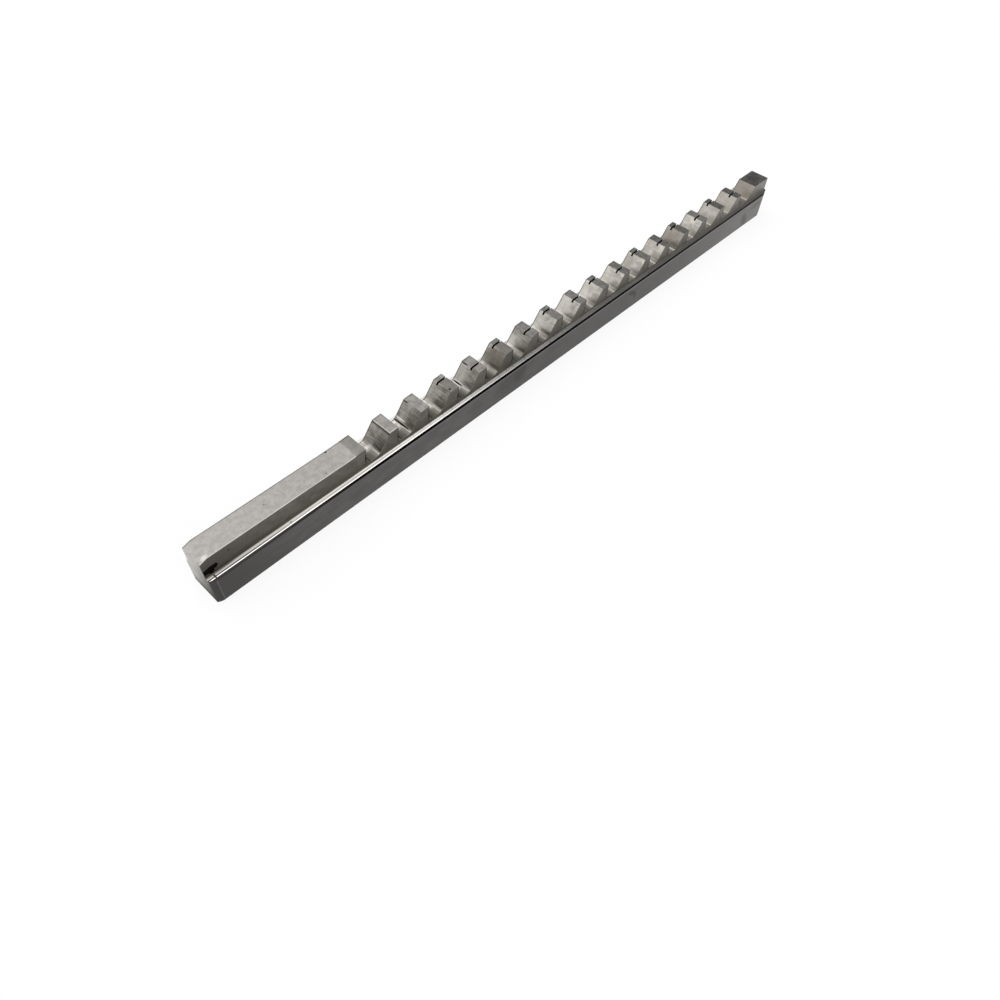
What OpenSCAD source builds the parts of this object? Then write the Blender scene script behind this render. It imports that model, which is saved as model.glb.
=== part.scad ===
// Push-type keyway broach, ground from one bar of high speed steel.
// A wide guide body runs in the slot of a bushing. The narrower blade on top of it carries teeth that
// rise a little from one to the next, so that each takes its own thin chip from the keyway.
// X runs along the bar towards the leading end, Y across it and Z up.
// The origin is in the middle of the bar's back, the face that the bar rests on.

/* [Guide body] */
// Width of the guide body
body_w = 15.4; // [14:0.1:22]
// Height of the guide body, up to the ledges on both sides of the blade
body_h = 13; // [9:0.1:15]
// Break along the outer edge of each ledge
ledge_break = 0.5; // [0.2:0.05:0.9]
// Break along the two bottom edges
bottom_break = 0.3; // [0.1:0.05:1]
// Fillet between the blade and each ledge
ledge_root_r = 0.4; // [0.2:0.05:0.8]
// Trailing corner bevel, measured along the bar
rear_bevel_l = 2.25; // [1:0.05:6]
// Trailing corner bevel, measured across the bar
rear_bevel_w = 1.05; // [0.6:0.05:1.8]
// Leading corner bevel, measured along the bar
front_bevel_l = 4.9; // [1:0.05:9]
// Leading corner bevel, measured across the bar
front_bevel_w = 1.85; // [0.6:0.05:1.9]

/* [Blade] */
// Width of the blade, which is the width of the keyway
blade_w = 10; // [6:0.1:10.4]
// Height of the last cutting edge above the bar's back
last_edge_h = 22.1; // [20:0.1:26]
// Plain shank behind the last cutting edge
shank_l = 70.63; // [40:0.01:120]
// Distance that the top of the shank falls towards the last tooth
shank_fall = 0.33; // [0.05:0.01:0.6]
// Ramp between the shank and the last tooth's land
shank_ramp_l = 5; // [2:0.1:10]
// Land of the last tooth
last_land_l = 4.7; // [2:0.1:8]
// Bevel on the top of the trailing end, measured along the bar
push_bevel_l = 3.2; // [1:0.1:8]
// Bevel on the top of the trailing end, measured down
push_bevel_h = 1.1; // [0.4:0.05:3]
// Distance from the first cutting edge to the leading end
pilot_reach = 26.41; // [24:0.01:50]
// Flat top of the front pilot
pilot_l = 12.9; // [6:0.1:13.5]
// Height of the front pilot above the bar's back
pilot_h = 19.3; // [18:0.1:19.8]

/* [Teeth] */
// Separate teeth ahead of the last one
teeth = 16; // [4:1:18]
// Distance from one cutting edge to the next
pitch = 15.96; // [15:0.01:22]
// Rise from one cutting edge to the next
rise = 0.13; // [0.02:0.005:0.15]
// Land behind each cutting edge
land_l = 4.4; // [2:0.1:4.8]
// Clearance angle of the lands
relief_angle = 2.5; // [0.5:0.1:6]
// Hook angle of the cutting faces
hook_angle = 11; // [0:0.5:15]
// Slope of the backs, from the horizontal
back_angle = 52; // [45:0.5:70]
// Height of the first gullet floor, at the last tooth, above the ledges
floor_rise = 1.4; // [1.35:0.05:2.4]
// Fall from one gullet floor to the next, towards the leading end
floor_fall = 0.055; // [0:0.005:0.06]
// Radius between a cutting face and its gullet floor
face_r = 2.5; // [1:0.1:2.8]
// Radius between a gullet floor and the next back
back_r = 3.2; // [0.5:0.1:3.4]

/* [Chip breakers] */
// First tooth that has a chip breaker, counted from the last one
first_nicked = 3; // [1:1:4]
// Width of a chip breaker
nick_w = 0.75; // [0.3:0.05:1.2]
// Depth of a chip breaker below the cutting edge
nick_d = 1.2; // [0.4:0.05:1.6]
// Place of the chip breakers on odd teeth, from the blade's middle
odd_nick_y = 2.5; // [1:0.1:3.5]
// Place of the chip breakers on even teeth, from the blade's middle
even_nick_y = -0.7; // [-3.5:0.1:0.5]

/* [Pit] */
// Middle of the scale pit, from the trailing end
pit_x = 3.3; // [2.8:0.1:20]
// Lowest point of the scale pit above the ledge
pit_rise = 0.6; // [0.5:0.1:2]
// Length of the scale pit
pit_l = 5.2; // [2:0.1:5.5]
// Height of the scale pit
pit_h = 3.7; // [1:0.1:5]
// Depth of the scale pit
pit_d = 0.3; // [0.1:0.05:0.8]

/* [Hidden] */

bar_l = shank_l + teeth * pitch + pilot_reach;
rear_x = -bar_l / 2;
front_x = bar_l / 2;
clear = 1;
bite = 0.02;
above = last_edge_h + clear;
// The pit's outline in shares of its length and height, with its tip towards the leading end
pit_outline = [[-0.5, 0.6], [-0.4, 0.95], [0, 1], [0.36, 0.95], [0.5, 0.62],
               [0.22, 0.4], [0.06, 0], [-0.16, 0.04], [-0.36, 0.36]];

// Tip of a cutting edge in the side view, from the last tooth (0) to the first
function edge(tooth) = [rear_x + shank_l + tooth * pitch, last_edge_h - tooth * rise];
// Height of the gullet floor ahead of a cutting edge
function floor_height(tooth) = body_h + floor_rise - tooth * floor_fall;
// Drop of a relieved land from its cutting edge to its heel
function land_drop(land) = land * tan(relief_angle);

// The side view's 2D shapes stand upright across the blade
module across(width) {
    rotate([90, 0, 0])
        linear_extrude(width, center = true)
            children();
}

// Side view of what the cutter takes from one cutting edge to the tip of the next land ahead of it:
// the hooked face, its radius, the floor, the next back and the wedge above the next land.
// Each round corner is a disc that bites a hair into the two straight lines that it joins.
module gullet(tip, floor_h, next_tip, next_land, next_drop) {
    face_seat = face_r - bite;
    face_centre = [tip.x - (tip.y - floor_h - face_seat) * tan(hook_angle) + face_seat / cos(hook_angle),
                   floor_h + face_seat];
    face_end = face_centre + face_seat * [-cos(hook_angle), sin(hook_angle)];
    heel = next_tip - [next_land, next_drop];
    foot_x = heel.x - (heel.y - floor_h) / tan(back_angle);
    back_seat = back_r - bite;
    back_tangent = back_seat * tan(back_angle / 2);
    back_centre = [foot_x - back_tangent, floor_h + back_seat];
    back_start = [foot_x, floor_h] + back_tangent * [cos(back_angle), sin(back_angle)];
    polygon([tip, face_end, face_centre, [face_centre.x, floor_h], [back_centre.x, floor_h],
             back_centre, back_start, heel, next_tip, next_tip + [clear, 0],
             [next_tip.x + clear, above], [tip.x, above]]);
    translate(face_centre)
        circle(face_r, $fn = 64);
    translate(back_centre)
        circle(back_r, $fn = 48);
}

// Side view of what is ground off the top of the shank: the push bevel, the slow fall towards the
// last tooth and the ramp up to its land
module shank_relief() {
    tip = edge(0);
    heel = tip - [last_land_l, land_drop(last_land_l)];
    polygon([[rear_x - clear, above],
             [rear_x - clear, last_edge_h - push_bevel_h * (1 + clear / push_bevel_l)],
             [rear_x + push_bevel_l, last_edge_h],
             [heel.x - shank_ramp_l, last_edge_h - shank_fall],
             heel, tip, [tip.x, above]]);
}

// The blade's side view, from the push end to the front pilot
module blade_profile() {
    difference() {
        translate([rear_x, body_h - ledge_break])
            square([bar_l, last_edge_h - body_h + ledge_break]);
        shank_relief();
        for (tooth = [0 : teeth - 1])
            gullet(edge(tooth), floor_height(tooth), edge(tooth + 1), land_l, land_drop(land_l));
        gullet(edge(teeth), floor_height(teeth), [front_x, pilot_h], pilot_l, 0);
    }
}

// End view of the guide body with its broken edges, and the fillets that carry the blade
module body_section() {
    half = body_w / 2;
    polygon([[half - bottom_break, 0], [half, bottom_break], [half, body_h - ledge_break],
             [half - ledge_break, body_h], [ledge_break - half, body_h], [-half, body_h - ledge_break],
             [-half, bottom_break], [bottom_break - half, 0]]);
    for (side = [-1, 1])
        translate([side * (blade_w / 2 + ledge_root_r / 2), body_h + ledge_root_r / 2])
            difference() {
                square(ledge_root_r, center = true);
                translate([side * ledge_root_r / 2, ledge_root_r / 2])
                    circle(ledge_root_r, $fn = 48);
            }
}

// Plan of the guide body, with a bevel on each corner
module body_plan() {
    half = body_w / 2;
    rear_half = half - rear_bevel_w;
    front_half = half - front_bevel_w;
    polygon([[rear_x, -rear_half], [rear_x + rear_bevel_l, -half], [front_x - front_bevel_l, -half],
             [front_x, -front_half], [front_x, front_half], [front_x - front_bevel_l, half],
             [rear_x + rear_bevel_l, half], [rear_x, rear_half]]);
}

module guide_body() {
    intersection() {
        rotate([90, 0, 90])
            linear_extrude(bar_l, center = true)
                body_section();
        linear_extrude(last_edge_h)
            body_plan();
    }
}

// One slit through a tooth's land, from its cutting edge out through the top of its back
module chip_breaker(tooth) {
    tip = edge(tooth);
    slit_l = land_l + nick_d / tan(back_angle) + 2 * clear;
    slit_y = tooth % 2 == 1 ? odd_nick_y : even_nick_y;
    translate([tip.x + clear - slit_l, slit_y - nick_w / 2, tip.y - nick_d])
        cube([slit_l, nick_w, nick_d + clear]);
}

// Shallow pit that forging scale left in the blade's side, close to the push end
module scale_pit() {
    translate([rear_x + pit_x, pit_d - blade_w / 2, body_h + pit_rise])
        rotate([90, 0, 0])
            linear_extrude(pit_d + clear)
                polygon([for (point = pit_outline) [point.x * pit_l, point.y * pit_h]]);
}

module broach() {
    color([0.56, 0.55, 0.53])
        difference() {
            union() {
                guide_body();
                across(blade_w)
                    blade_profile();
            }
            for (tooth = [first_nicked : teeth])
                chip_breaker(tooth);
            scale_pit();
        }
}

broach();
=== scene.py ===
"""Push-type keyway broach on a pale floor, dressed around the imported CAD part."""

import bmesh
import bpy
import numpy as np
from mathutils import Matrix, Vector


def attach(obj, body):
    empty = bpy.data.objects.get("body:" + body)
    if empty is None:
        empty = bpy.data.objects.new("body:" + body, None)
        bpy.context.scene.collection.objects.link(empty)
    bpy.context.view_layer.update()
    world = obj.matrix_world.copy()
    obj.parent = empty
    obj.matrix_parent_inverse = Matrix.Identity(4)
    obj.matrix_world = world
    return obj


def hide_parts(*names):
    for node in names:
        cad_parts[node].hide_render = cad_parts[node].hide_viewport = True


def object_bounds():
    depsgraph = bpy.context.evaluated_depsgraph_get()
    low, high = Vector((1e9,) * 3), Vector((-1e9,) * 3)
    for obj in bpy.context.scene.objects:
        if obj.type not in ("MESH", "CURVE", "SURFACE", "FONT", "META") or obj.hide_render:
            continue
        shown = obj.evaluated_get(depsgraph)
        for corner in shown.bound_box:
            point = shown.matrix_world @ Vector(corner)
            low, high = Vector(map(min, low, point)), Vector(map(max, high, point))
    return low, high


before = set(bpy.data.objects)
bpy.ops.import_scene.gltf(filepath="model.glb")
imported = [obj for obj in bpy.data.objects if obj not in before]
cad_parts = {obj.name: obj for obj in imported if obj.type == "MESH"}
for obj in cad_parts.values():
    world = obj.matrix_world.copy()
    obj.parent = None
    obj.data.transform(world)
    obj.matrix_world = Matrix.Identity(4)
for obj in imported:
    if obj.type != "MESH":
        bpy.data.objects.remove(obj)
cad_low, cad_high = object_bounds()

# Blade
# The narrow upper half of the bar is what cuts: a plain shank that the press pushes on, seventeen cutting
# edges that rise from the leading end to the shank, and a front pilot. It is high speed steel, milled between
# the teeth and then ground on the lands. Its side view is one line from the push end to the pilot.
mm = 0.001
rear_x, front_x = cad_low.x, cad_high.x
last_edge_h = cad_high.z
body_h = 13 * mm
blade_half = 5 * mm
shank_l = 70.63 * mm
shank_fall = 0.33 * mm
shank_ramp_l = 5 * mm
last_land_l = 4.7 * mm
push_bevel_l = 3.2 * mm
push_bevel_h = 1.1 * mm
pilot_l = 12.9 * mm
pilot_h = 19.3 * mm
teeth = 16
pitch = 15.96 * mm
rise = 0.13 * mm
land_l = 4.4 * mm
land_drop = np.tan(np.radians(2.5))
hook = np.tan(np.radians(11))
back_slope = np.tan(np.radians(52))
floor_rise = 1.4 * mm
floor_fall = 0.055 * mm
face_r = 2.5 * mm
back_r = 3.2 * mm
edge_r = 0.1 * mm
arc_points = 6
line_points = 1


def rounded(corners, radii, arc_points):
    """Straight lines through the corners, each inner corner swapped for an arc that touches both of its
    lines. The arc starts radius * tan(turn / 2) before the corner, and its centre lies one radius to the side
    that the line turns to. Returns points along the line and unit normals to the left of travel."""
    corners, radii = np.asarray(corners, float), np.asarray(radii, float)
    ahead = np.diff(corners, axis=0)
    ahead /= np.linalg.norm(ahead, axis=1)[:, None]
    before, after = ahead[:-1], ahead[1:]
    turn = np.arctan2(before[:, 0] * after[:, 1] - before[:, 1] * after[:, 0], (before * after).sum(1))
    cut = (radii * np.tan(np.abs(turn) / 2))[:, None]
    starts, ends = corners[1:-1] - before * cut, corners[1:-1] + after * cut
    to_left = np.stack([-before[:, 1], before[:, 0]], 1)
    side = (radii * np.sign(turn))[:, None]
    centres = starts + to_left * side
    first_heading = np.arctan2(before[:, 1], before[:, 0])[:, None]
    heading = first_heading + turn[:, None] * np.linspace(0, 1, arc_points)
    arc_normals = np.stack([-np.sin(heading), np.cos(heading)], 2)
    arcs = centres[:, None] - arc_normals * side[:, None]
    share = (np.arange(line_points) + 1)[:, None] / (line_points + 1)
    line_starts = np.concatenate([corners[:1], ends])[:, None]
    line_ends = np.concatenate([starts, corners[-1:]])[:, None]
    lines = line_starts + (line_ends - line_starts) * share
    line_normals = np.repeat(np.stack([-ahead[:, 1], ahead[:, 0]], 1)[:, None], line_points, 1)
    points = np.concatenate([lines[:-1], arcs], 1).reshape(-1, 2)
    normals = np.concatenate([line_normals[:-1], arc_normals], 1).reshape(-1, 2)
    return (np.concatenate([corners[:1], points, lines[-1], corners[-1:]]),
            np.concatenate([line_normals[0, :1], normals, line_normals[-1], line_normals[-1, :1]]))


tooth = np.arange(teeth + 1)
tip_x = rear_x + shank_l + tooth * pitch
tip_z = last_edge_h - tooth * rise
floor_z = body_h + floor_rise - tooth * floor_fall
heel_x = np.append(tip_x[1:] - land_l, front_x - pilot_l)
heel_z = np.append(tip_z[1:] - land_l * land_drop, pilot_h)
gap_corners = np.stack([
    np.stack([tip_x, tip_z], 1),
    np.stack([tip_x - (tip_z - floor_z) * hook, floor_z], 1),
    np.stack([heel_x - (heel_z - floor_z) / back_slope, floor_z], 1),
    np.stack([heel_x, heel_z], 1)], 1).reshape(-1, 2)
last_heel = [tip_x[0] - last_land_l, tip_z[0] - last_land_l * land_drop]
crown_corners = np.concatenate([
    [[rear_x, body_h], [rear_x, last_edge_h - push_bevel_h], [rear_x + push_bevel_l, last_edge_h],
     [last_heel[0] - shank_ramp_l, last_edge_h - shank_fall], last_heel],
    gap_corners,
    [[front_x, pilot_h], [front_x, body_h]]])
shank_corners = 4
crown_radii = np.concatenate([
    np.full(shank_corners, edge_r), np.tile([edge_r, face_r, back_r, edge_r], teeth + 1), [edge_r]])
crown, crown_normal = rounded(crown_corners, crown_radii, arc_points)
# The line starts and ends where the arcs of the two end corners meet the end faces
inner = slice(line_points + 1, -line_points - 1)
crown, crown_normal = crown[inner], crown_normal[inner]

# Chip breakers
# From the third tooth ahead of the shank's own, each land has one narrow slit that splits its chip in two, at
# one place on odd teeth and at another on even ones. A thin abrasive wheel cuts them. Their walls and one rim
# are painted black as the shade inside the slit.
nick_w = 0.75 * mm
shade_rim = 0.16 * mm
nick_d = 1.2 * mm
first_nicked = 3
odd_nick_y = 2.5 * mm
even_nick_y = -0.7 * mm


def owner(x):
    """Number of the tooth whose cutting edge is at x, or the next one ahead of it."""
    same_place = 1e-6
    return np.ceil((x - tip_x[0]) / pitch - same_place).clip(0, teeth + 1).astype(int)


def nick_floor(number):
    """Height of the bottom of a tooth's slit."""
    return last_edge_h - number * rise - nick_d


# Cross sections are taken at every point of the crown line, where a slit runs out of a back or a face, and
# closely at the two ends, where the corner bevels and the scale pit are
end_zone = 8 * mm
end_step = 0.2 * mm
walked = np.append(0, np.cumsum(np.linalg.norm(np.diff(crown, axis=0), axis=1)))
above = crown[:, 1] - nick_floor(owner(crown[:, 0]))
runs_out = np.flatnonzero((above[:-1] * above[1:] < 0) & (np.diff(owner(crown[:, 0])) == 0))
share = above[runs_out] / (above[runs_out] - above[runs_out + 1])
close = np.arange(end_step, end_zone, end_step)
slit_ends = walked[runs_out] + share * np.diff(walked)[runs_out]
walk = np.unique(np.concatenate([
    walked, slit_ends, walked[arc_points] + close, walked[-arc_points] - close]))
x, z, normal_x, normal_z = (np.interp(walk, walked, values) for values in (*crown.T, *crown_normal.T))
stations = len(walk)

# Across the blade there is a round at each side, wider along the handled shank than on the sharp teeth, two
# columns at each wall of a slit and one at its rim, which is painted dark as shade. A column's y is a place
# plus a share of the round's radius.
shank_edge_r = 0.22 * mm
tooth_edge_r = 0.06 * mm
side_r = np.where(x < last_heel[0], shank_edge_r, tooth_edge_r)[:, None]
round_turn = np.linspace(np.pi / 2, 0, arc_points)
round_out = 1 - np.sin(round_turn)
round_down = 1 - np.cos(round_turn)
even_low, even_high = even_nick_y - nick_w / 2, even_nick_y + nick_w / 2
odd_low, odd_high = odd_nick_y - nick_w / 2, odd_nick_y + nick_w / 2
flat_y = [even_low - shade_rim, even_low, even_low, even_high, even_high, odd_low - shade_rim,
          odd_low, odd_low, odd_high, odd_high, (odd_high + blade_half) / 2]
# Each column's slit: 0 for that of even teeth, 1 for that of odd ones and -1 for none
flat_nick = [-1, -1, 0, 0, -1, -1, -1, 1, 1, -1, -1]
column_y = np.concatenate([np.full(arc_points, -blade_half), flat_y, np.full(arc_points, blade_half)])
column_in = np.concatenate([round_out, np.zeros(len(flat_y)), -round_out[::-1]])
column_down = np.concatenate([round_down, np.zeros(len(flat_y)), round_down[::-1]])
column_nick = np.concatenate([np.full(arc_points, -1), flat_nick, np.full(arc_points, -1)])

# Both end faces are eased into the sides by the same small round
ease_turn = np.linspace(0, np.pi / 2, arc_points)
inset = np.zeros(stations)
inset[:arc_points] = edge_r * (1 - np.sin(ease_turn))
inset[-arc_points:] = inset[:arc_points][::-1]
depth = column_down * side_r * (1 - inset / edge_r)[:, None]
crown_x = x[:, None] - normal_x[:, None] * depth
crown_y = (column_y + column_in * side_r) * ((blade_half - inset) / blade_half)[:, None]
crown_z = z[:, None] - normal_z[:, None] * depth
number = owner(x)
hair = 0.001 * mm
nicked = (number >= first_nicked) & (number <= teeth) & (z > nick_floor(number) - hair)
in_slit = nicked[:, None] & (column_nick == (number % 2)[:, None])
slit_end = (tip_x[number.clip(0, teeth)] - nick_d * hook)[:, None]
crown_x = np.where(in_slit, np.minimum(crown_x, slit_end), crown_x)
crown_z = np.where(in_slit, nick_floor(number)[:, None], crown_z)

# Guide body
# The wide lower half runs in the slot of a bushing and carries the blade. Its sides, ledges and back are
# surface ground, its long edges are broken by hand on a wheel, and its four corners are bevelled so that it
# enters easily.
body_half = cad_high.y
ledge_break = 0.5 * mm
bottom_break = 0.3 * mm
ledge_root_r = 0.4 * mm
rear_bevel_l = 2.25 * mm
rear_bevel_w = 1.05 * mm
front_bevel_l = 4.9 * mm
front_bevel_w = 1.85 * mm
section_arc_points = 4
section, section_normal = rounded(
    [[0, 0], [bottom_break - body_half, 0], [-body_half, bottom_break], [-body_half, body_h - ledge_break],
     [ledge_break - body_half, body_h], [-blade_half, body_h], [-blade_half, body_h + 2 * ledge_root_r]],
    [edge_r, edge_r, edge_r, edge_r, ledge_root_r], section_arc_points)
section, section_normal = section[:-line_points - 1], section_normal[:-line_points - 1]

# The hooked faces lean back over the blade's sides, so the body's own sections never run backwards
body_x = np.minimum.accumulate(x[::-1])[::-1].clip(rear_x + edge_r, front_x - edge_r)
body_x[:arc_points] = rear_x + edge_r * (1 - np.cos(ease_turn))
body_x[-arc_points:] = front_x - edge_r * (1 - np.cos(ease_turn))[::-1]
rear_cut = rear_bevel_w * (1 - (body_x - rear_x) / rear_bevel_l)
front_cut = front_bevel_w * (1 - (front_x - body_x) / front_bevel_l)
half_width = body_half - np.maximum(0, np.maximum(rear_cut, front_cut))
lower_x = np.repeat(body_x[:, None], len(section), 1)
lower_y = np.maximum(section[:, 0], -half_width[:, None]) - section_normal[:, 0] * inset[:, None]
lower_z = section[:, 1] - section_normal[:, 1] * inset[:, None]

# Scale pit
# A shallow black pit near the push end, where forging scale was rolled into the bar and the grinding of the
# blade's side didn't reach its bottom.
pit_place = np.array([rear_x + 3.3 * mm, body_h + 0.6 * mm])
pit_size = np.array([5.2 * mm, 3.7 * mm])
pit_d = 0.3 * mm
pit_slope = 0.25 * mm
# The outline's points are shares of the pit's length and height
pit_outline = pit_place + pit_size * [
    [-0.5, 0.6], [-0.4, 0.95], [0, 1], [0.36, 0.95], [0.5, 0.62],
    [0.22, 0.4], [0.06, 0], [-0.16, 0.04], [-0.36, 0.36]]


def pit_depth(along, up):
    """Depth below the blade's side: distance inside the outline over the slope, smoothed at both ends.
    A point is inside if a ray along the bar crosses the outline an odd number of times."""
    here = np.stack([along, up], -1)[..., None, :]
    start, end = pit_outline, np.roll(pit_outline, -1, 0)
    line = end - start
    nearest = (((here - start) * line).sum(-1) / (line ** 2).sum(-1)).clip(0, 1)
    away = np.linalg.norm(here - start - nearest[..., None] * line, axis=-1).min(-1)
    spans = (start[:, 1] > here[..., 1]) != (end[:, 1] > here[..., 1])
    crossing = start[:, 0] + (here[..., 1] - start[:, 1]) * line[:, 0] / line[:, 1]
    inside = (spans & (here[..., 0] < crossing)).sum(-1) % 2
    share = (inside * away / pit_slope).clip(0, 1)
    return pit_d * share ** 2 * (3 - 2 * share)


# Bar
# The bar is one piece of high speed steel. Every cross section is one ring: up one side of the guide body,
# up the blade's side, over the crown and down again. The rings are joined along the bar and closed by the
# two end faces.

# The rows of the blade's side lie closest near the ledge, where the pit is
side_rows = 22
row_crowding = 1.3
up = ((np.arange(side_rows) + 1) / (side_rows + 1)) ** row_crowding
foot_x, foot_z = lower_x[:, -1:], lower_z[:, -1:]
side_x = foot_x + (crown_x[:, :1] - foot_x) * up
side_z = foot_z + (crown_z[:, :1] - foot_z) * up
side_y = np.repeat(inset[:, None] - blade_half, side_rows, 1)
pitted = pit_depth(side_x, side_z)
ring_x = np.concatenate([lower_x, side_x, crown_x, side_x[:, ::-1], lower_x[:, ::-1]], 1)
ring_y = np.concatenate([lower_y, side_y + pitted, crown_y, -side_y[:, ::-1], -lower_y[:, ::-1]], 1)
ring_z = np.concatenate([lower_z, side_z, crown_z, side_z[:, ::-1], lower_z[:, ::-1]], 1)
places = np.stack([ring_x, ring_y, ring_z], 2)
ring = places.shape[1]
index = np.arange(stations * ring).reshape(stations, ring)
quads = np.stack([index[:-1, :-1], index[1:, :-1], index[1:, 1:], index[:-1, 1:]], 2)
corner = places.reshape(-1, 3)[quads]
facing = np.cross(corner[:, :, 2] - corner[:, :, 0], corner[:, :, 3] - corner[:, :, 1])
smallest_area = 1e-15
facing /= np.maximum(np.linalg.norm(facing, axis=2, keepdims=True), smallest_area)
middle = corner.mean(2)

# The backs of the six teeth next to the shank have coarser milling lines than the others
coarse_backs = 6
coarse_end = tip_x[coarse_backs]
FINISHES = [
    "shank_top", "ground_land", "milled_back", "coarse_back", "gullet_floor", "cut_slit", "blade_side",
    "scale_pit", "ledge", "far_ledge", "edge_break", "guide_side", "rear_bevel", "front_bevel", "highlight_and_worn_edge",
    "pilot_top", "end_face"]
code = {name: number for number, name in enumerate(FINISHES)}
strip = np.arange(ring - 1)
rows = len(section)
crown_start, crown_end = rows + side_rows, rows + side_rows + len(column_y) - 1
is_lower = (strip < rows - 1) | (strip >= ring - rows)
is_crown = (strip >= crown_start) & (strip < crown_end)
is_round = is_crown & ((strip < crown_start + arc_points - 1) | (strip >= crown_end - arc_points + 1))
slit_wall = in_slit[:-1] & in_slit[1:]
touches_slit = np.zeros((stations - 1, ring - 1), bool)
touches_slit[:, crown_start:crown_end] = slit_wall[:, :-1] | slit_wall[:, 1:]
# Faces in a slit and on its rim are painted black, as the shade inside the slit
slit_shade = touches_slit | np.roll(touches_slit, -1, 1)
scale_start = 0.02 * mm
touches_pit = np.zeros((stations - 1, ring - 1), bool)
touches_pit[:, rows:rows + side_rows - 1] = np.maximum(pitted[:-1, :-1], pitted[1:, 1:]) > scale_start
along, sideways = middle[..., 0], np.abs(middle[..., 1])
far_side = middle[..., 1] > 0
# The least that a face looks up, as a cosine, on a land or gullet floor, on a ledge and on a broken edge, and
# the least that it looks along the bar on a bevel
level_up = 0.94
ledge_up = 0.9
break_up = 0.3
bevel_along = 0.2
# Lands lie no further than this below the pilot's top, and the pilot's finish starts this far behind its heel
top_margin = 0.2 * mm
pilot_margin = 1 * mm
on_top = (facing[..., 2] > level_up) & (middle[..., 2] > pilot_h - top_margin)
on_floor = (facing[..., 2] > level_up) & (middle[..., 2] < body_h + floor_rise + back_r)
at_edge = sideways > body_half - front_bevel_w - 2 * ledge_break
sloped = np.abs(facing[..., 0]) > bevel_along
# A face has the first finish whose condition it meets, or else that of the guide's sides
rules = [
    ("cut_slit", slit_shade),
    ("scale_pit", touches_pit),
    # The shank's near edge gets a painted highlight; the pilot's leading edge is worn bright
    ("highlight_and_worn_edge", is_round & ~far_side & (along < last_heel[0])),
    ("highlight_and_worn_edge", is_crown & (along > front_x - edge_r)),
    ("pilot_top", is_crown & on_top & (along > front_x - pilot_l - pilot_margin)),
    ("shank_top", is_crown & (along < last_heel[0])),
    ("ground_land", is_crown & (on_top | (along < tip_x[0] - edge_r))),
    ("gullet_floor", is_crown & on_floor),
    ("coarse_back", is_crown & (along < coarse_end)),
    ("milled_back", is_crown),
    ("blade_side", ~is_lower),
    ("ledge", facing[..., 2] > ledge_up),
    ("blade_side", middle[..., 2] > body_h),
    ("edge_break", (facing[..., 2] > break_up) & at_edge),
    ("rear_bevel", sloped & (along < rear_x + rear_bevel_l)),
    ("front_bevel", sloped & (along > front_x - front_bevel_l))]
finish = np.select(
    [met for name, met in rules], [code[name] for name, met in rules], code["guide_side"])
# The far ledge and far broken edges take a paler copy, painted lighter than the near ones as the far side is
# lit
pale = far_side & np.isin(finish, [code["ledge"], code["edge_break"]])
finish = np.where(pale, code["far_ledge"], finish)


def linear(hex_colour):
    """Linear RGBA of an sRGB hex colour."""
    value = np.array([int(hex_colour[start:start + 2], 16) for start in (1, 3, 5)]) / 255
    value = np.where(value <= 0.04045, value / 12.92, ((value + 0.055) / 1.055) ** 2.4)
    return (*value, 1.0)


def add(tree, kind, links=(), **settings):
    """Adds a node with its settings. links gives each input, by name or number, a value or an output."""
    node = tree.nodes.new(kind)
    for name, value in settings.items():
        setattr(node, name, value)
    for name, value in dict(links).items():
        if isinstance(value, bpy.types.NodeSocket):
            tree.links.new(value, node.inputs[name])
        else:
            node.inputs[name].default_value = value
    return node


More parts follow.
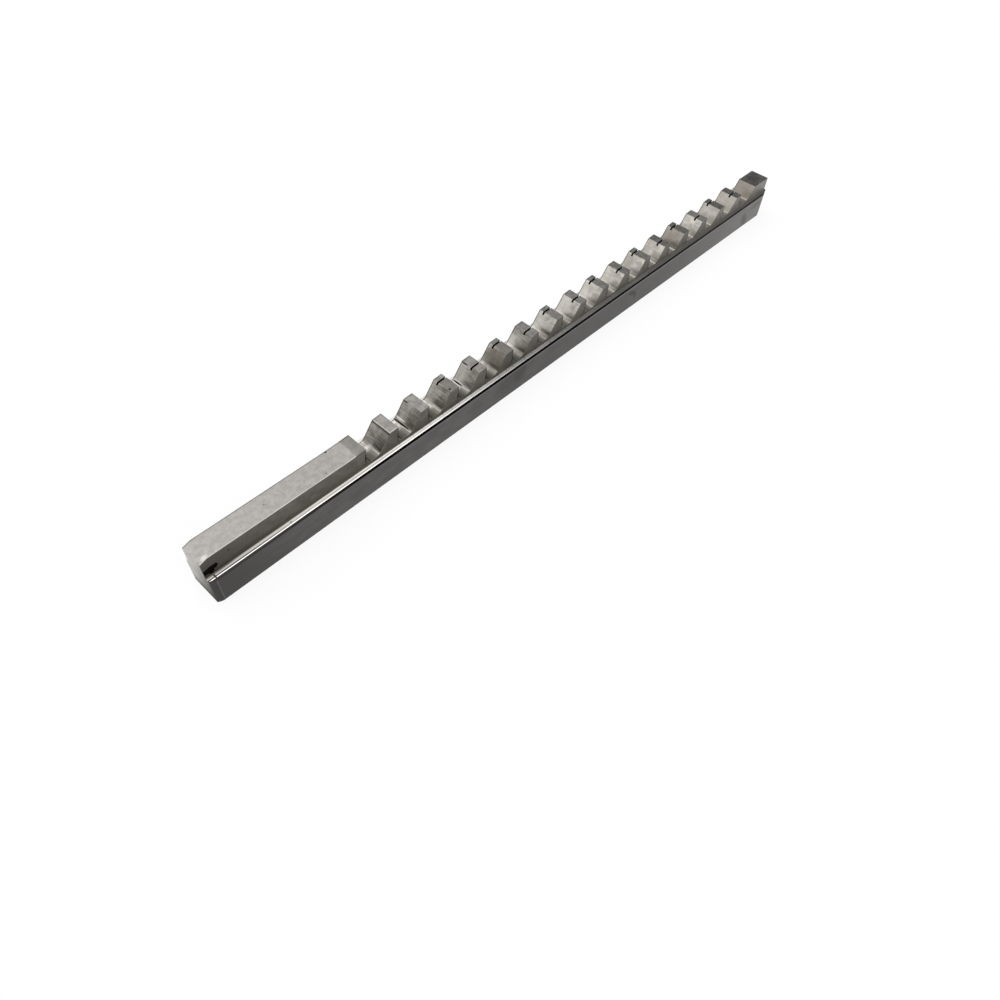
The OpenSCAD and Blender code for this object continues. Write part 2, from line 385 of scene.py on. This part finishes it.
def tool_steel(name, light, dark, grain, blotch, rough, depth, turn=0.0, lean=0.0, metal=1.0):
    """High speed steel. The two colours alternate in grain lines of size grain and in larger blotches, both
    given as (x, y, z) millimetres and turned about the bar's Y axis by turn degrees. The grain also drives
    the roughness, from rough[0] to rough[1], and a bump as deep as depth in millimetres. The grinding marks
    of a finish with lean slope down and outwards, by lean millimetres in one. Where metal is below 1, matt
    residue covers the rest."""
    material = bpy.data.materials.new(name)
    material.use_nodes = True
    tree = material.node_tree
    shader = tree.nodes["Principled BSDF"]
    shader.inputs["Metallic"].default_value = metal
    shader.inputs["Specular IOR Level"].default_value = 0.5 if metal == 1 else 0.0
    place = add(tree, "ShaderNodeTexCoord").outputs["Object"]
    patterns = []
    for size in (grain, blotch):
        scaled = add(tree, "ShaderNodeMapping", {
            "Vector": place, "Scale": [length * mm for length in size],
            "Rotation": (0, np.radians(turn), 0)}, vector_type="TEXTURE")
        pattern = add(tree, "ShaderNodeTexNoise", {
            "Vector": scaled.outputs[0], "Scale": 1.0, "Detail": 4.0})
        patterns.append(pattern.outputs[0])
    lines, clouds = patterns
    # The grain lies mostly between 0.3 and 0.7, and its sum with the blotches between 0.75 and 1.25
    both = add(tree, "ShaderNodeMath", {0: lines, 1: clouds}, operation="ADD").outputs[0]
    share = add(tree, "ShaderNodeMapRange", {"Value": both, "From Min": 0.75, "From Max": 1.25},
                interpolation_type="SMOOTHSTEP").outputs[0]
    colour = add(tree, "ShaderNodeMix", {
        "Factor": share, 6: linear(dark), 7: linear(light)}, data_type="RGBA")
    tree.links.new(colour.outputs[2], shader.inputs["Base Color"])
    gloss = add(tree, "ShaderNodeMapRange", {
        "Value": lines, "From Min": 0.3, "From Max": 0.7, "To Min": rough[0], "To Max": rough[1]})
    tree.links.new(gloss.outputs[0], shader.inputs["Roughness"])
    height = add(tree, "ShaderNodeMath", {0: lines, 1: depth * mm}, operation="MULTIPLY").outputs[0]
    if lean:
        across = add(tree, "ShaderNodeSeparateXYZ", {0: place}).outputs["Y"]
        height = add(tree, "ShaderNodeMath", {
            0: across, 1: lean, 2: height}, operation="MULTIPLY_ADD").outputs[0]
    bump = add(tree, "ShaderNodeBump", {"Height": height, "Strength": 1.0, "Distance": 1.0})
    tree.links.new(bump.outputs[0], shader.inputs["Normal"])
    return material


def stain_and_light(material, centre, reach, colour, share=1.0, solid=0.5, ragged=0.0, every=0.0, turn=0.0):
    """Paints a patch over a finish: a mark of dirt or wear, or painted light or shade. A point's distance
    from the centre is measured in shares of the reach, both (x, y, z) in millimetres with x from the push
    end. The patch covers the finish by share up to the distance solid and is gone at 1, and noise of a
    quarter of the reach moves its rim by up to ragged. It comes again along the bar after every so many
    millimetres, and is turned about the bar's Y axis by turn degrees."""
    tree = material.node_tree
    shader = tree.nodes["Principled BSDF"]
    under = shader.inputs["Base Color"].links[0].from_socket
    place = tree.nodes["Texture Coordinate"].outputs["Object"]
    middle = (rear_x + centre[0] * mm, centre[1] * mm, centre[2] * mm)
    if every:
        axes = add(tree, "ShaderNodeSeparateXYZ", {0: place}).outputs
        nearest = add(tree, "ShaderNodeMath", {
            0: axes["X"], 1: middle[0] + every * mm / 2, 2: middle[0] - every * mm / 2}, operation="WRAP")
        place = add(tree, "ShaderNodeCombineXYZ", {
            "X": nearest.outputs[0], "Y": axes["Y"], "Z": axes["Z"]}).outputs[0]
    scaled = add(tree, "ShaderNodeMapping", {
        "Vector": place, "Location": middle, "Scale": [length * mm for length in reach],
        "Rotation": (0, np.radians(turn), 0)}, vector_type="TEXTURE").outputs[0]
    away = add(tree, "ShaderNodeVectorMath", {0: scaled}, operation="LENGTH").outputs["Value"]
    if ragged:
        rim = add(tree, "ShaderNodeTexNoise", {"Vector": scaled, "Scale": 4.0, "Detail": 3.0}).outputs[0]
        rim = add(tree, "ShaderNodeMath", {0: rim, 1: 0.5}, operation="SUBTRACT").outputs[0]
        away = add(tree, "ShaderNodeMath", {
            0: rim, 1: 2 * ragged, 2: away}, operation="MULTIPLY_ADD").outputs[0]
    cover = add(tree, "ShaderNodeMapRange", {
        "Value": away, "From Min": solid, "From Max": 1.0, "To Min": share, "To Max": 0.0},
        interpolation_type="SMOOTHSTEP").outputs[0]
    mixed = add(tree, "ShaderNodeMix", {"Factor": cover, 6: under, 7: linear(colour)}, data_type="RGBA")
    tree.links.new(mixed.outputs[2], shader.inputs["Base Color"])


made = {}
# The shank's top is ground across the bar: a satin grey with a fine mottle
made["shank_top"] = tool_steel(
    "ground_shank_steel", "#9f9c98", "#8d8a87", (0.35, 1.5, 1.5), (2.5, 2, 2), (0.3, 0.42), 0.004)
# The lands are ground the same way and a little duller
made["ground_land"] = tool_steel(
    "ground_high_speed_steel", "#95938f", "#787572", (0.4, 2.5, 2.5), (3, 2, 2), (0.3, 0.42), 0.004)
# Backs are left as the form cutter milled them: brighter, with lines across the bar
made["milled_back"] = tool_steel(
    "milled_high_speed_steel", "#aca8a2", "#86827c", (0.5, 6, 0.5), (3, 2.5, 3), (0.22, 0.34), 0.005)
# The backs next to the shank have coarser lines that stand out dark and light
made["coarse_back"] = tool_steel(
    "coarse_milled_steel", "#9e9a95", "#6d6963", (0.35, 4.5, 0.35), (4, 3, 4), (0.22, 0.34), 0.008)
# Gullet floors are bright milled steel, painted darker below where they mirror the dark tooth faces
made["gullet_floor"] = tool_steel(
    "bright_milled_steel", "#cbc7c1", "#918d86", (0.4, 3, 0.4), (2, 2, 2), (0.22, 0.34), 0.005)
# Slits are painted black as the shade inside them
made["cut_slit"] = tool_steel(
    "slit_painted_shade", "#100f0e", "#080707", (3, 0.4, 0.4), (3, 3, 3), (0.5, 0.6), 0.004)
# The blade's sides are dark and even, with faint slanted lines from a cup wheel
made["blade_side"] = tool_steel(
    "side_ground_steel", "#67635d", "#55524c", (0.7, 1, 5), (6, 3, 3), (0.3, 0.42), 0.004, turn=28)
# Forging scale is matt and black
made["scale_pit"] = tool_steel(
    "forging_scale", "#1d1a17", "#0d0c0a", (0.6, 0.6, 0.6), (2, 2, 2), (0.6, 0.8), 0.05)
# The near ledge is finished by the side of a wheel, and its leaning marks flash under an overhead light
made["ledge"] = tool_steel(
    "bright_ground_ledge", "#d6d4d0", "#bfbdb9", (20, 0.3, 0.3), (12, 2, 2), (0.14, 0.22), 0.002, lean=0.32)
# The far ledge is a paler, partly matt copy of the near one, painted evenly bright as the far side is lit
made["far_ledge"] = tool_steel(
    "pale_ground_ledge", "#e6e4e0", "#d8d6d2", (20, 0.3, 0.3), (12, 2, 2), (0.3, 0.4), 0.002, metal=0.5)
# Edges are broken by hand; the near ones are painted black as a dark reflection of the near side
made["edge_break"] = tool_steel(
    "painted_dark_edge_break", "#090808", "#040303", (20, 0.3, 0.3), (12, 2, 2), (0.25, 0.35), 0.002)
# The guide's sides and back are ground along the bar, with long fine lines and cloudy smears
made["guide_side"] = tool_steel(
    "guide_ground_steel", "#5d5b5a", "#4f4d4c", (9, 0.5, 0.4), (9, 4, 4), (0.3, 0.42), 0.004)
# The corner bevels at the push end were ground by hand and are darker than the sides
made["rear_bevel"] = tool_steel(
    "hand_ground_bevel", "#484643", "#3d3b38", (2, 2, 0.5), (4, 4, 4), (0.35, 0.45), 0.004)
# The longer bevels at the leading end are dulled by the bores that they enter
made["front_bevel"] = tool_steel(
    "dull_ground_bevel", "#6c6a66", "#595753", (2, 2, 0.5), (4, 4, 4), (0.35, 0.45), 0.004, metal=0.3)
# The shank's near edge is painted light as a highlight, and bores have polished the pilot's leading edge
made["highlight_and_worn_edge"] = tool_steel(
    "painted_highlight_and_worn_edge", "#ccc9c4", "#b4b1ac", (6, 0.3, 0.3), (12, 2, 2), (0.2, 0.3), 0.001)
# The pilot's top is stained by the cutting oil of the bores that it has been in
made["pilot_top"] = tool_steel(
    "oil_stained_steel", "#767470", "#5c5a57", (0.5, 4, 4), (4, 4, 4), (0.34, 0.46), 0.004)
# The end faces are sawn and ground square, and dull
made["end_face"] = tool_steel(
    "ground_end_steel", "#cbc9c5", "#bdbbb7", (4, 4, 0.4), (6, 6, 6), (0.35, 0.45), 0.004, metal=0.15)

# Long patches on the sides and broken edges, with x from the push end: painted light and shade, and stains
# and smears. Where the reach along the bar is whole, a patch is the same from end to end.
whole = 2000
half_way = -rear_x / mm
near_side = -body_half / mm
near_blade = -blade_half / mm
ledge_z = body_h / mm
# Painted light and shade: the guide's near side is lighter towards the pilot and darker at the push end
stain_and_light(made["guide_side"], (352, near_side, 6), (110, 40, 40), "#6d6b68", solid=0.05)
stain_and_light(made["guide_side"], (225, near_side, 6), (130, 40, 40), "#4a4948", 0.5, 0.2)
stain_and_light(made["guide_side"], (0, near_side, 6), (45, 40, 40), "#464442", solid=0.05)
# Darker patches and smears on the guide's near side
stain_and_light(made["guide_side"], (146, near_side, 8), (14, 5, 9), "#413f3e", 0.5, 0.2)
stain_and_light(made["guide_side"], (152.5, near_side, 8.5), (4.5, 5, 5), "#3a3837", 0.5, 0.7, 0.1)
stain_and_light(made["guide_side"], (231, near_side, 8.9), (3.8, 5, 1.6), "#2e2c2b", 0.85, 0.4, 0.3, turn=20)
stain_and_light(made["guide_side"], (234, near_side, 6.6), (1.5, 5, 3), "#2e2c2b", 0.85, 0.4, 0.3)
stain_and_light(made["guide_side"], (331.8, near_side, 4.4), (3.4, 5, 6), "#484643", 0.85, 0.4, 0.25, turn=-35)
stain_and_light(made["guide_side"], (341, near_side, 9), (9, 5, 1.8), "#504e4b", 0.7, 0.4, 0.4)
# A painted highlight under the near broken edge, and a black line painted along it as a dark reflection
stain_and_light(made["guide_side"], (190, near_side, 11.95), (185, 5, 0.35), "#8b8987", 0.7, 0.45)
stain_and_light(made["guide_side"], (130, near_side, 12.5), (172, 5, 0.5), "#090808", 1.0, 0.7)
# A painted highlight at the rear bevel's edge, and a painted contact shadow along the bottom
stain_and_light(made["guide_side"], (2.5, near_side, 6), (0.35, 5, 30), "#6c6a68", 0.5, 0.2)
stain_and_light(made["guide_side"], (half_way, near_side, 0), (whole, 5, 0.7), "#262423", 0.85, 0.35)
# Painted light and shade: the blade's near side is lighter towards the pilot and darker at the push end
stain_and_light(made["blade_side"], (352, near_blade, 16), (80, 30, 40), "#79756f", solid=0.45)
stain_and_light(made["blade_side"], (0, near_blade, 17), (30, 30, 30), "#504d48", solid=0.1)
# Painted light low on the blade's near side, against the shade at its foot
stain_and_light(made["blade_side"], (25, near_blade, 12.8), (105, 5, 5), "#7c7870", 0.7, 0.1)
# Dark patches and spots on the blade's near side
stain_and_light(made["blade_side"], (148, near_blade, 18), (6, 5, 6), "#4f4a44", 0.8, 0.5, 0.2)
stain_and_light(made["blade_side"], (10.7, near_blade, 19.2), (0.6, 0.6, 0.5), "#1b1917", 0.9, 0.4, 0.2)
stain_and_light(made["blade_side"], (150, near_blade, 20.6), (0.7, 1, 0.9), "#2a2725", 0.9, 0.4)
# The black painted on the near broken edge as a dark reflection eases towards both ends
stain_and_light(made["edge_break"], (352, -7.5, 12.7), (180, 40, 40), "#2a2827", 0.5, 0.05)
stain_and_light(made["edge_break"], (0, -7.5, 12.7), (75, 40, 40), "#3e3c39", solid=0.15)
# Painted shade: gullet floors darken towards the near side and the tooth face behind, which they mirror
stain_and_light(made["gullet_floor"], (half_way, -5.5, 14), (whole, 7, 60), "#625f5a", 0.95, 0.55, 0.05)
stain_and_light(made["gullet_floor"], (72, -5.5, 14), (3.6, 9, 60), "#504d48", 0.9, 0.5, 0.05, every=pitch / mm)
# Towards the pilot the floors are painted an even grey
stain_and_light(made["gullet_floor"], (352, -5, 14), (230, 40, 60), "#a5a19a", 0.85, 0.35)
# Painted shade: the near side of the backs is darker too, most of all at the foot
stain_and_light(made["coarse_back"], (half_way, -7, 21), (whole, 9, 7), "#5f5b55", 0.42, 0.2)
stain_and_light(made["milled_back"], (75.4, -6, 13), (8.5, 8.5, 8.5), "#57534d", 0.9, 0.2, 0.1, every=pitch / mm)
stain_and_light(made["coarse_back"], (158.5, -6, 13), (8.5, 8.5, 8.5), "#57534d", 0.8, 0.3, 0.1)
# Painted light and shade: the middle backs are brightest on the far side, the last before the pilot darker
stain_and_light(made["coarse_back"], (130, 5, 18), (35, 8, 60), "#c4c0b9", 0.4, 0.3)
stain_and_light(made["coarse_back"], (158, 4, 16), (5, 4.5, 4), "#c4c0b9", 0.5, 0.4, 0.1)
stain_and_light(made["coarse_back"], (88, -4, 15.5), (36, 6, 4.2), "#a09b93", 0.6, 0.3)
stain_and_light(made["milled_back"], (195, 5, 18), (50, 8, 60), "#ccc9c3", 0.35, 0.3)
stain_and_light(made["milled_back"], (340, 0, 17), (60, 40, 40), "#8a867f", 0.7, 0.3)
# Darker patches on single backs
stain_and_light(made["milled_back"], (239, 3, 18), (4, 4, 5), "#8a867f", 0.6, 0.5, 0.2)
stain_and_light(made["milled_back"], (236, -4, 15.5), (4, 5, 4), "#625e57", 0.6, 0.3, 0.2)
stain_and_light(made["milled_back"], (335.5, -4, 15.5), (4, 5, 3.5), "#57524b", 0.6, 0.3, 0.2)
# Marks on the shank's top and on single lands, backs and floors, and painted highlights and step shadows
# A painted highlight at the near corner of the push bevel
stain_and_light(made["shank_top"], (2.6, -4.2, 22), (2, 1.4, 2), "#d0cdc8", 0.55, 0.3, 0.2)
# Dark spots on the shank's top
stain_and_light(made["shank_top"], (53.3, -3.65, 22), (0.45, 0.35, 1), "#3a3734", 0.9, 0.4)
stain_and_light(made["shank_top"], (29.3, 0.2, 22), (0.45, 0.35, 1), "#4a4744", 0.9, 0.4)
stain_and_light(made["shank_top"], (59.4, 4.4, 22), (0.7, 0.7, 1), "#23211f", 0.9, 0.4, 0.2)
# Darker lands and a dark spot
stain_and_light(made["ground_land"], (68.4, 0, 22), (2.6, 60, 60), "#6b6864", 0.5, 0.6)
stain_and_light(made["ground_land"], (352, 0, 20), (150, 40, 40), "#6b6966", 0.55, 0.1)
stain_and_light(made["ground_land"], (148.2, -1, 21.4), (3, 7, 3), "#67645f", 0.5, 0.6, 0.1)
stain_and_light(made["ground_land"], (116, -1.5, 21.6), (3.5, 6, 3), "#67635e", 0.6, 0.5, 0.2)
stain_and_light(made["ground_land"], (114.8, -3.5, 21.55), (0.75, 0.6, 1.5), "#1f1c1a", 0.95, 0.5)
# Painted highlights on the first tooth's heel and on its land's near edge
stain_and_light(made["ground_land"], (82.35, 0, 21.8), (0.3, 60, 3), "#b9b6b1", 0.6, 0.5)
stain_and_light(made["ground_land"], (84.5, -4.8, 21.9), (3, 0.4, 3), "#c6c3be", 0.6, 0.5)
# A lighter land
stain_and_light(made["ground_land"], (291.9, 0, 20), (3, 9, 3), "#aaa7a2", 0.6, 0.6)
# A painted shadow under a step at the first tooth's heel
stain_and_light(made["coarse_back"], (81.9, 0, 21.3), (0.4, 60, 0.5), "#3a3632", 0.85, 0.5)
# A darker patch on a back
stain_and_light(made["coarse_back"], (142.5, -1, 18), (6, 9, 6), "#5c564d", 0.7, 0.5, 0.25)
# Painted shadows under small steps at the feet and heels of single backs, and a painted highlight above one
stain_and_light(made["coarse_back"], (92.6, 1.1, 14.9), (0.4, 5.4, 0.4), "#121110", 1.0, 0.8, 0.05)
stain_and_light(made["coarse_back"], (93.6, 2.2, 15.8), (0.4, 3.4, 0.5), "#e2ded8", 0.8, 0.7, 0.1)
stain_and_light(made["coarse_back"], (124.5, 1.9, 14.8), (0.4, 3, 0.4), "#121110", 1.0, 0.8, 0.05)
stain_and_light(made["coarse_back"], (97.9, 3.6, 21.4), (0.35, 1.9, 0.5), "#24211e", 0.8, 0.6, 0.1)
stain_and_light(made["coarse_back"], (129.8, 3.2, 21.2), (0.35, 2.2, 0.5), "#24211e", 0.9, 0.7, 0.1)
# Dark spots and patches on a floor and on single backs, and a lighter one
stain_and_light(made["gullet_floor"], (108.4, 2, 14.3), (0.5, 0.5, 1), "#2b2825", 0.9, 0.4)
stain_and_light(made["milled_back"], (300, 2, 14.3), (60, 8, 2.8), "#6e6a63", 0.55, 0.2)
stain_and_light(made["milled_back"], (270.5, 0, 18), (6, 9, 6), "#625a52", 0.6, 0.5, 0.3)
stain_and_light(made["milled_back"], (268.3, 0.5, 15.6), (3.6, 6, 3), "#4e4741", 0.7, 0.3, 0.3)
stain_and_light(made["milled_back"], (268.5, -3.5, 15.8), (4, 4, 3), "#3f3934", 0.6, 0.3, 0.3)
stain_and_light(made["milled_back"], (288.5, 2, 19), (4, 7, 2.6), "#ccc8c2", 0.15, 0.4, 0.2)
stain_and_light(made["milled_back"], (337, 0, 17), (6, 9, 6), "#615b53", 0.55, 0.5, 0.3)
stain_and_light(made["milled_back"], (337.5, -0.5, 17), (2, 2.6, 2), "#74665e", 0.4, 0.1, 0.5)
# Painted light and shade on the ledge: darker ends, bright and dark lines along it and a black outer rim
stain_and_light(made["ledge"], (0, -6, ledge_z), (90, 4, 4), "#716f6b", 0.68, 0.05)
stain_and_light(made["ledge"], (90, -6.85, ledge_z), (130, 0.4, 5), "#f0eeea", 0.8, 0.5)
stain_and_light(made["ledge"], (58, -6.2, ledge_z), (42, 0.7, 5), "#96938e", 0.85, 0.4, 0.2)
stain_and_light(made["ledge"], (115, -6.15, ledge_z), (85, 0.24, 5), "#7d7b77", 0.6, 0.5)
stain_and_light(made["ledge"], (4, -6.48, ledge_z), (44, 0.4, 5), "#2a2826", 0.95, 0.45)
# Darker at its inner edge near the push end
stain_and_light(made["ledge"], (4, -5.1, ledge_z), (12, 0.6, 3), "#4a4642", 0.85, 0.5, 0.1)
# Painted shade towards the pilot, and the outer rim painted black as a dark reflection
stain_and_light(made["ledge"], (352, -6, ledge_z), (180, 4, 4), "#aeaba4", 0.65, 0.1)
stain_and_light(made["ledge"], (120, -7.3, ledge_z), (170, 0.36, 5), "#070606", 1.0, 0.7)
stain_and_light(made["ledge"], (half_way, -7.3, ledge_z), (whole, 0.24, 5), "#070606", 1.0, 0.7)
# A painted highlight along the outer edge near the push end
stain_and_light(made["ledge"], (0, -6.86, ledge_z), (80, 0.2, 5), "#f0eeea", 0.95, 0.6)
# A dark spot, and a dark streak running down from the scale pit
stain_and_light(made["ledge"], (34.3, -5.9, ledge_z), (0.7, 0.3, 1), "#3a3734", 0.9, 0.4, 0.2)
stain_and_light(made["ledge"], (2.9, -6.2, ledge_z), (0.45, 1.7, 2), "#2a2622", 0.95, 0.5, 0.2)
# Dried oil in the middle of the pilot's top; painted shade low on the push end's face and along its bottom
stain_and_light(made["pilot_top"], (345.5, 0, 19.3), (5.5, 4.5, 3), "#4e4c49", 0.7, 0.3, 0.5)
stain_and_light(made["end_face"], (0, -9, 2), (6, 15, 26), "#3d3b37", 0.92, 0.1, 0.05)
stain_and_light(made["end_face"], (0, -2, -3), (6, 22, 11), "#3c3a37", 0.8, 0.2, 0.05)
stain_and_light(made["end_face"], (0, 0, 0), (6, 30, 0.7), "#1f1d1b", 0.8, 0.4)
# A dark line painted along the far edges of the crown, as the dark reflection of their rounds
for name in ("shank_top", "ground_land", "coarse_back", "milled_back", "gullet_floor"):
    stain_and_light(made[name], (half_way, 5, 18), (whole, 0.6, 60), "#35322f", 0.75, 0.4)

mesh = bpy.data.meshes.new("broach_bar")
caps = [index[0].tolist(), index[-1, ::-1].tolist()]
mesh.from_pydata(places.reshape(-1, 3).tolist(), [], quads.reshape(-1, 4).tolist() + caps)
for name in FINISHES:
    mesh.materials.append(made[name])
finish_index = np.append(finish.reshape(-1), [code["end_face"]] * len(caps)).astype(np.int32)
mesh.polygons.foreach_set("material_index", finish_index)
merge_gap = 0.002 * mm
sliver = merge_gap / 10
crease_angle = np.radians(20)
bm = bmesh.new()
bm.from_mesh(mesh)
bmesh.ops.remove_doubles(bm, verts=bm.verts, dist=merge_gap)
bmesh.ops.dissolve_degenerate(bm, edges=bm.edges, dist=sliver)
bm.to_mesh(mesh)
bm.free()
mesh.shade_smooth()
mesh.set_sharp_from_angle(angle=crease_angle)
bar = bpy.data.objects.new("broach_bar", mesh)
bpy.context.scene.collection.objects.link(bar)
even_light = bar.modifiers.new("even_light", "WEIGHTED_NORMAL")
even_light.keep_sharp = True
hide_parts("broach")
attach(bar, "root")

# Floor
# A table top painted matt white, large enough to fill the picture. The bar lies on it on its back, and
# nothing holds it.
floor_reach = 20.0
floor_mesh = bpy.data.meshes.new("floor")
floor_mesh.from_pydata(
    [(-floor_reach, -floor_reach, 0), (floor_reach, -floor_reach, 0), (floor_reach, floor_reach, 0),
     (-floor_reach, floor_reach, 0)], [], [(0, 1, 2, 3)])


def looking(tree):
    """1 for a ray that looks straight, in a mirror or through glass, and 0 for light on a matt surface."""
    ray = add(tree, "ShaderNodeLightPath").outputs
    straight = add(tree, "ShaderNodeMath", {
        0: ray["Is Camera Ray"], 1: ray["Is Glossy Ray"]}, operation="MAXIMUM").outputs[0]
    return add(tree, "ShaderNodeMath", {
        0: straight, 1: ray["Is Transmission Ray"]}, operation="MAXIMUM").outputs[0]


# Matt white paint. What looks at it straight or in the steel sees mostly plain white, and faintly the bar's
# shadow.
floor_paint = bpy.data.materials.new("matt_white_paint")
floor_paint.use_nodes = True
tree = floor_paint.node_tree
floor_shader = tree.nodes["Principled BSDF"]
floor_shader.inputs["Base Color"].default_value = linear("#fcfcfc")
floor_shader.inputs["Roughness"].default_value = 0.9
floor_shader.inputs["Specular IOR Level"].default_value = 0.0
plain_share = 0.87
seen = add(tree, "ShaderNodeMath", {0: looking(tree), 1: plain_share}, operation="MULTIPLY")
white = add(tree, "ShaderNodeEmission", {"Color": (1, 1, 1, 1), "Strength": 1.0})
paint = add(tree, "ShaderNodeMixShader", {
    0: seen.outputs[0], 1: floor_shader.outputs[0], 2: white.outputs[0]})
tree.links.new(paint.outputs[0], tree.nodes["Material Output"].inputs["Surface"])
floor_mesh.materials.append(floor_paint)
floor = bpy.data.objects.new("floor", floor_mesh)
bpy.context.scene.collection.objects.link(floor)

# Studio light
# One wide soft source overhead, a little towards the push end and the far side, and a white card low on the
# near side, in a dim room with a white backdrop all round.
scene = bpy.context.scene
world = bpy.data.worlds.new("studio")
world.use_nodes = True
scene.world = world
room_level = 0.17
# Each source's direction and level, and the cosines from its middle where it starts to show and where it is
# full
sources = [((-0.2, 0.3, 0.933), 1.58, 0.58, 0.78), ((0.3, -0.9, 0.32), 1.1, 0.72, 0.93)]
tree = world.node_tree
towards = add(tree, "ShaderNodeTexCoord").outputs["Generated"]
level = room_level
for direction, strength, rim, full in sources:
    lined_up = add(tree, "ShaderNodeVectorMath", {
        0: towards, 1: direction}, operation="DOT_PRODUCT").outputs["Value"]
    shine = add(tree, "ShaderNodeMapRange", {
        "Value": lined_up, "From Min": rim, "From Max": full, "To Max": strength},
        interpolation_type="SMOOTHSTEP").outputs[0]
    level = add(tree, "ShaderNodeMath", {0: shine, 1: level}, operation="ADD").outputs[0]
# In the steel the backdrop ends softly, at these sines of the height above the horizon. The camera sees no
# end of it.
backdrop_full = 0.31
backdrop_end = 0.4
height = add(tree, "ShaderNodeSeparateXYZ", {0: towards}).outputs["Z"]
low = add(tree, "ShaderNodeMapRange", {
    "Value": height, "From Min": backdrop_full, "From Max": backdrop_end, "To Min": 1.0, "To Max": 0.0},
    interpolation_type="SMOOTHSTEP").outputs[0]
share = add(tree, "ShaderNodeMath", {0: low, 1: looking(tree)}, operation="MULTIPLY").outputs[0]
camera_ray = add(tree, "ShaderNodeLightPath").outputs["Is Camera Ray"]
share = add(tree, "ShaderNodeMath", {0: share, 1: camera_ray}, operation="MAXIMUM").outputs[0]
level = add(tree, "ShaderNodeMix", {"Factor": share, 2: level, 3: 1.0}).outputs[0]
tree.links.new(level, tree.nodes["Background"].inputs["Strength"])
tree.nodes["Background"].inputs["Color"].default_value = (1, 1, 1, 1)

# Camera
# It stands beyond the push end on the near side, and looks down along the bar. Its place, turn and lens were
# fitted to the photograph's view.
camera_data = bpy.data.cameras.new("camera")
camera_data.sensor_width = 36
camera_data.lens = 28.095
camera_data.clip_start = 0.01
camera = bpy.data.objects.new("camera", camera_data)
camera.location = (-216.494 * mm, -164.266 * mm, 237.179 * mm)
camera.rotation_euler = np.radians([37.9816, -2.4555, -46.6721])
scene.collection.objects.link(camera)
scene.camera = camera
scene.view_settings.view_transform = "Standard"
